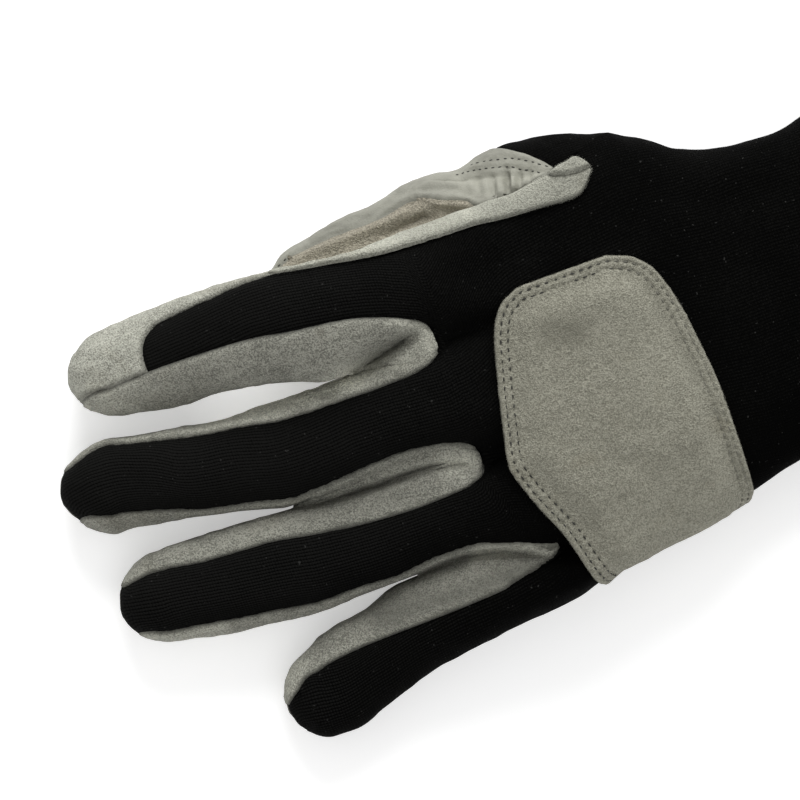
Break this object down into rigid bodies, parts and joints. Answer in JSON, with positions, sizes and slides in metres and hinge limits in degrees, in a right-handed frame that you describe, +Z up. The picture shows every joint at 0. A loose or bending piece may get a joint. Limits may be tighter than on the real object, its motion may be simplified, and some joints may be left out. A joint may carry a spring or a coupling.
{
  "type": "racing glove",
  "caption": "Left-hand racing glove lying palm down: black knit back, suede palm and finger walls, padded knuckle patch, leather thumb and a flared cuff.",
  "frame": {"origin": "middle of the glove's bounding box at the table it lies on", "axes": "+X from the fingertips to the cuff's mouth, +Y to the thumb side, +Z up from the table through the back of the hand"},
  "size_m": [0.2748, 0.1292, 0.0404],
  "materials": {
    "knit": "fine rib knit, matt",
    "palm_suede": "suede",
    "fourchette_suede": "suede",
    "index_suede": "suede",
    "thumb_leather": "smooth grain leather, satin",
    "thumb_suede": "suede",
    "cuff_knit": "fine rib knit, matt",
    "binding": "woven tape, matt",
    "patch_suede": "padded suede",
    "strip_suede": "suede with raw-cut edges",
    "tab_suede": "suede"
  },
  "bodies": {
    "root": {"back_panel": "knit", "palm": "palm_suede", "fourchette_index_middle": "fourchette_suede", "fourchette_middle_ring": "fourchette_suede", "fourchette_ring_little": "fourchette_suede", "index_side": "index_suede", "thumb_outer": "thumb_leather", "thumb_inner": "thumb_suede", "cuff": "cuff_knit", "cuff_binding": "binding", "knuckle_patch": "patch_suede", "side_strip": "strip_suede", "wrist_tab": "tab_suede"}
  },
  "joints": []
}
